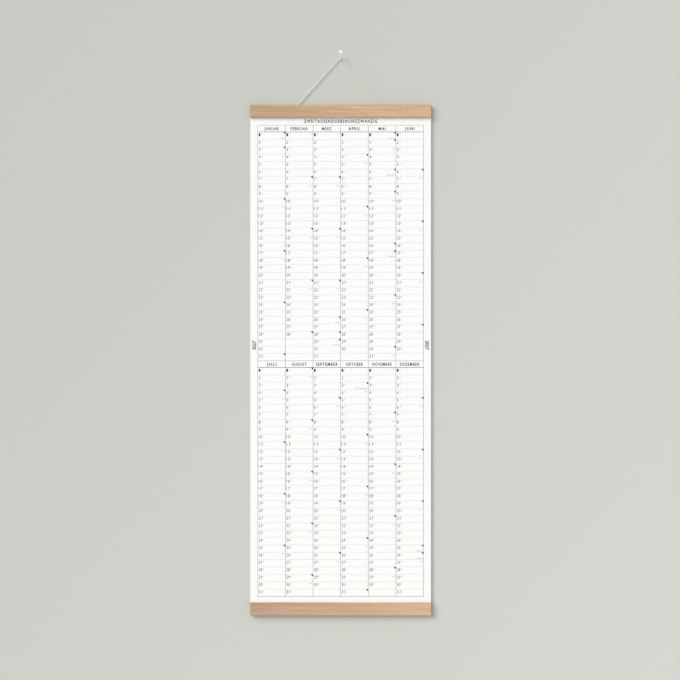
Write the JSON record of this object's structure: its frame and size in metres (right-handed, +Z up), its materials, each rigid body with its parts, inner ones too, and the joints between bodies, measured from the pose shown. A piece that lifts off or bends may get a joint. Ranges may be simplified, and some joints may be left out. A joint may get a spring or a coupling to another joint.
{
  "type": "wall calendar",
  "caption": "Tall narrow year planner: one printed sheet clamped top and bottom between magnetic oak rails, hung on a wall from a thin cord over a white nail.",
  "frame": {"origin": "the point where the nail's axis enters the wall", "axes": "+Z up, +Y into the wall, the printed front faces -Y, X = 0 is the calendar's middle"},
  "size_m": [0.34, 0.0405, 1.0605],
  "materials": {
    "paper": "matt white planner paper, printed in black and grey",
    "oak_top": "light oak with open grain along the strip, matt oil",
    "oak_bottom": "light oak with a quieter, pinker grain, matt oil",
    "magnet_nickel": "nickel-plated disc magnet",
    "cord": "twisted off-white cotton",
    "nail": "white coated steel"
  },
  "bodies": {
    "hung_planner": {"calendar_sheet": "paper", "hanging_cord": "cord", "left_knot": "cord", "right_knot": "cord", "wall_nail": "nail", "top_back_strip": "oak_top", "top_back_magnet_1": "magnet_nickel", "top_back_magnet_2": "magnet_nickel", "top_back_magnet_3": "magnet_nickel", "top_back_magnet_4": "magnet_nickel", "bottom_back_strip": "oak_bottom", "bottom_back_magnet_1": "magnet_nickel", "bottom_back_magnet_2": "magnet_nickel", "bottom_back_magnet_3": "magnet_nickel", "bottom_back_magnet_4": "magnet_nickel"},
    "top_front": {"top_front_strip": "oak_top", "top_front_magnet_1": "magnet_nickel", "top_front_magnet_2": "magnet_nickel", "top_front_magnet_3": "magnet_nickel", "top_front_magnet_4": "magnet_nickel"},
    "bottom_front": {"bottom_front_strip": "oak_bottom", "bottom_front_magnet_1": "magnet_nickel", "bottom_front_magnet_2": "magnet_nickel", "bottom_front_magnet_3": "magnet_nickel", "bottom_front_magnet_4": "magnet_nickel"}
  },
  "joints": [
    {"name": "top_front_pull", "type": "slide", "parent": "hung_planner", "child": "top_front", "axis": [0, -1, 0], "range_m": [0, 0.06]},
    {"name": "bottom_front_pull", "type": "slide", "parent": "hung_planner", "child": "bottom_front", "axis": [0, -1, 0], "range_m": [0, 0.06]}
  ]
}
